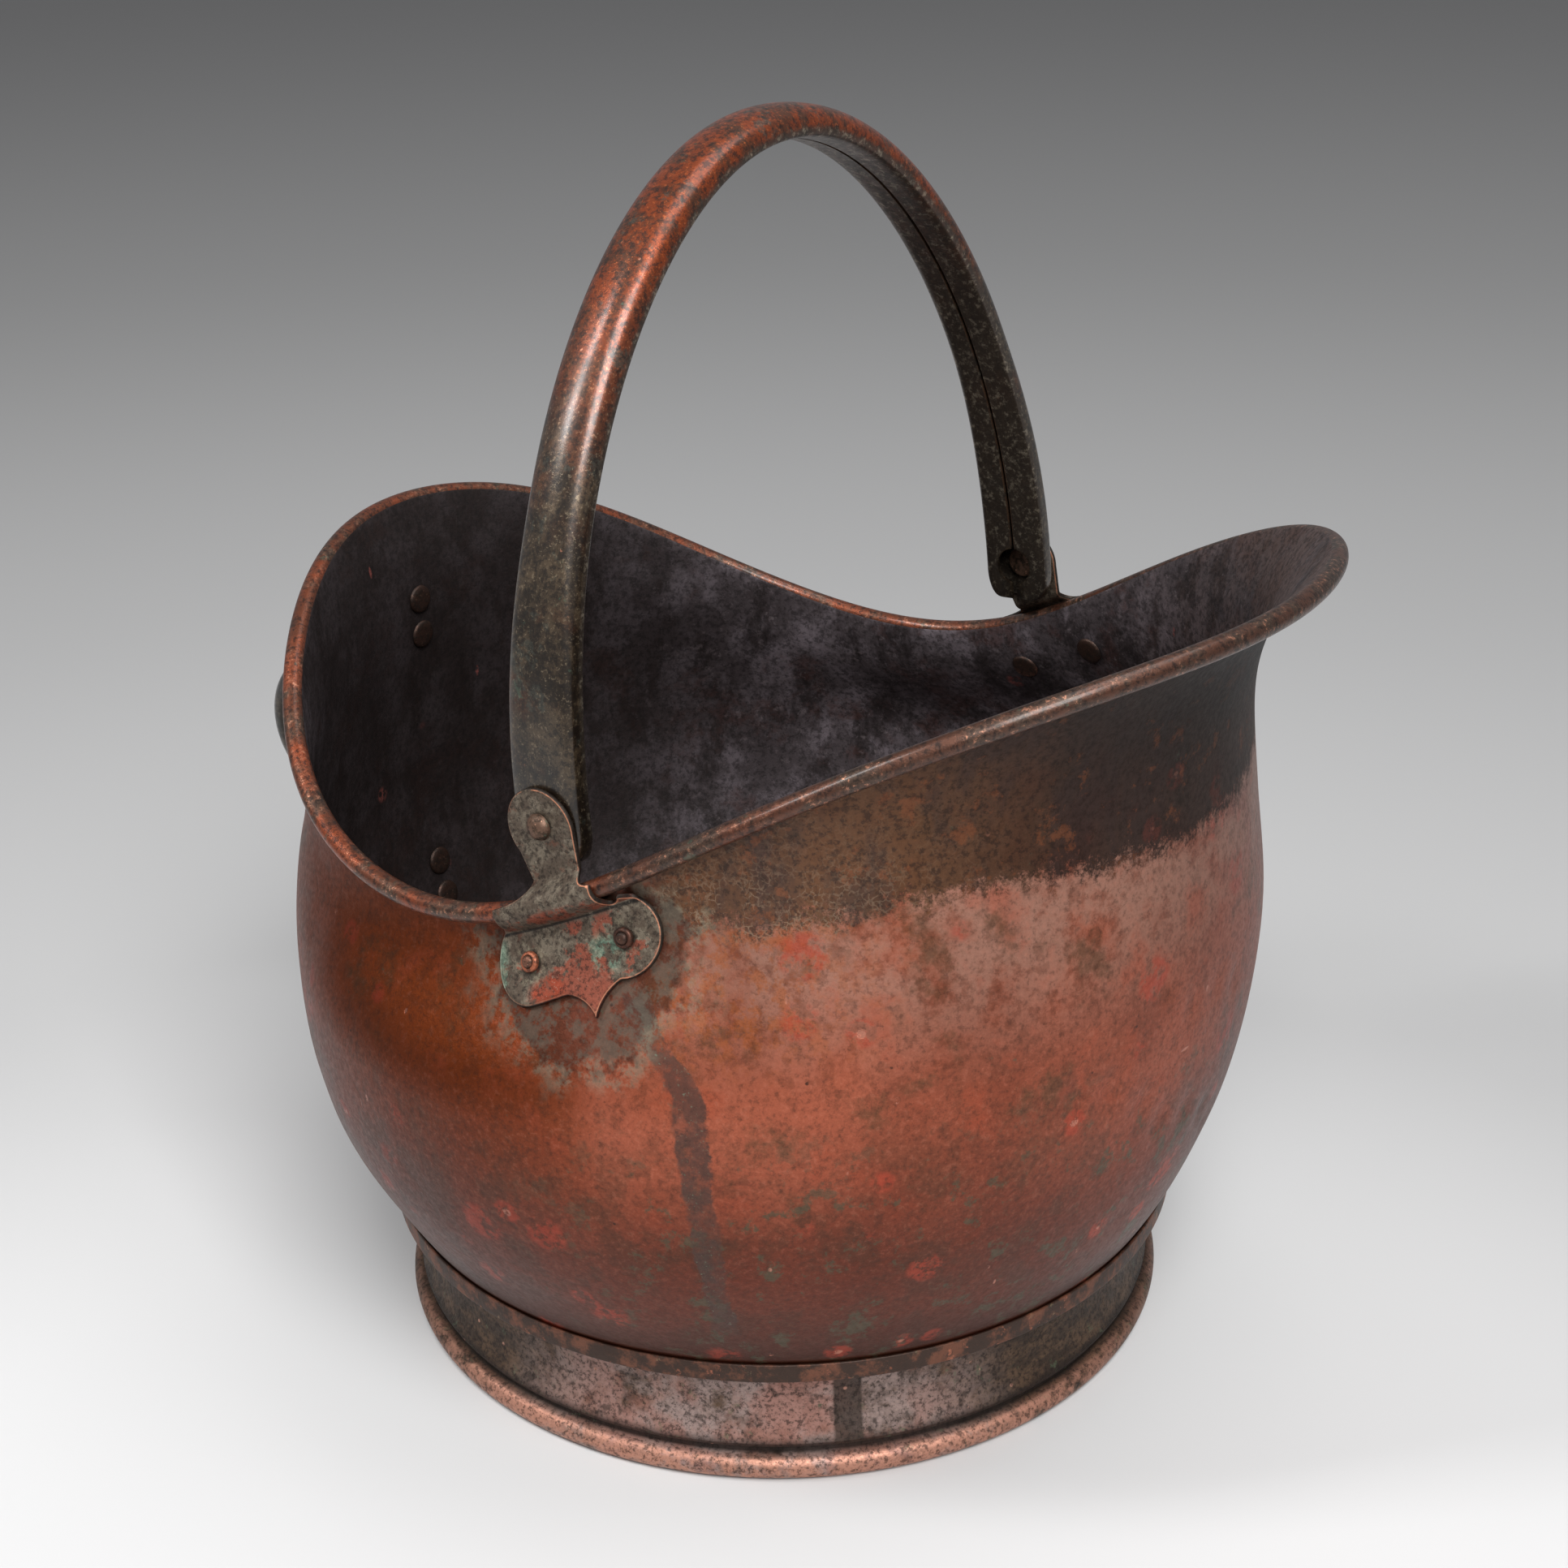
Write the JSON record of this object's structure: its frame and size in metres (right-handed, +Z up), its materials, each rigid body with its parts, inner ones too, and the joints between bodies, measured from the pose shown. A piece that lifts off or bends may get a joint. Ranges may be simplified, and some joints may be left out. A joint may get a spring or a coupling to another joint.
{
  "type": "coal scuttle",
  "caption": "Helmet coal scuttle in old sheet copper with a high hood, a flared pouring spout, a wired foot ring, a swinging bail on riveted lobed brackets and a fixed rear tipping handle.",
  "frame": {"origin": "on the floor, midway between the spout's lip and the back of the rear handle, in the plane of symmetry", "axes": "+Z up, +X towards the spout, +Y to the left of someone who looks towards the spout"},
  "size_m": [0.4404, 0.342, 0.4277],
  "materials": {
    "body_copper": "reddish-brown patinated copper with dark stripes, green spots and small bright dings",
    "dark_copper": "dark brown patinated copper",
    "foot_copper": "dark grey-brown copper, rubbed pinkish in front",
    "bail_copper": "brown-grey speckled copper, rubbed bright at the crown",
    "bracket_copper": "dark grey-brown copper with a bare red patch and green edges",
    "rivet_copper": "rubbed copper with dark rings",
    "iron_wire": "dull iron wire inside the rolled beads"
  },
  "bodies": {
    "bucket": {"body_shell": "body_copper", "rim_wire": "iron_wire", "base_disc": "dark_copper", "foot_ring": "foot_copper", "foot_wire": "iron_wire", "near_bracket": "bracket_copper", "near_pivot_rivet": "rivet_copper", "near_bracket_rivet_1": "rivet_copper", "near_bracket_rove_1": "rivet_copper", "near_bracket_rivet_2": "rivet_copper", "near_bracket_rove_2": "rivet_copper", "far_bracket": "bracket_copper", "far_pivot_rivet": "rivet_copper", "far_bracket_rivet_1": "rivet_copper", "far_bracket_rove_1": "rivet_copper", "far_bracket_rivet_2": "rivet_copper", "far_bracket_rove_2": "rivet_copper", "rear_handle": "bail_copper", "rear_handle_rivet_1": "rivet_copper", "rear_handle_rove_1": "rivet_copper", "rear_handle_rivet_2": "rivet_copper", "rear_handle_rove_2": "rivet_copper", "rear_handle_rivet_3": "rivet_copper", "rear_handle_rove_3": "rivet_copper", "rear_handle_rivet_4": "rivet_copper", "rear_handle_rove_4": "rivet_copper"},
    "bail": {"bail_handle": "bail_copper"}
  },
  "joints": [
    {"name": "bail_swing", "type": "hinge", "parent": "bucket", "child": "bail", "pos_m": [0.04215, 0, 0.2374], "axis": [0, 1, 0], "range_deg": [-73, 70]}
  ]
}
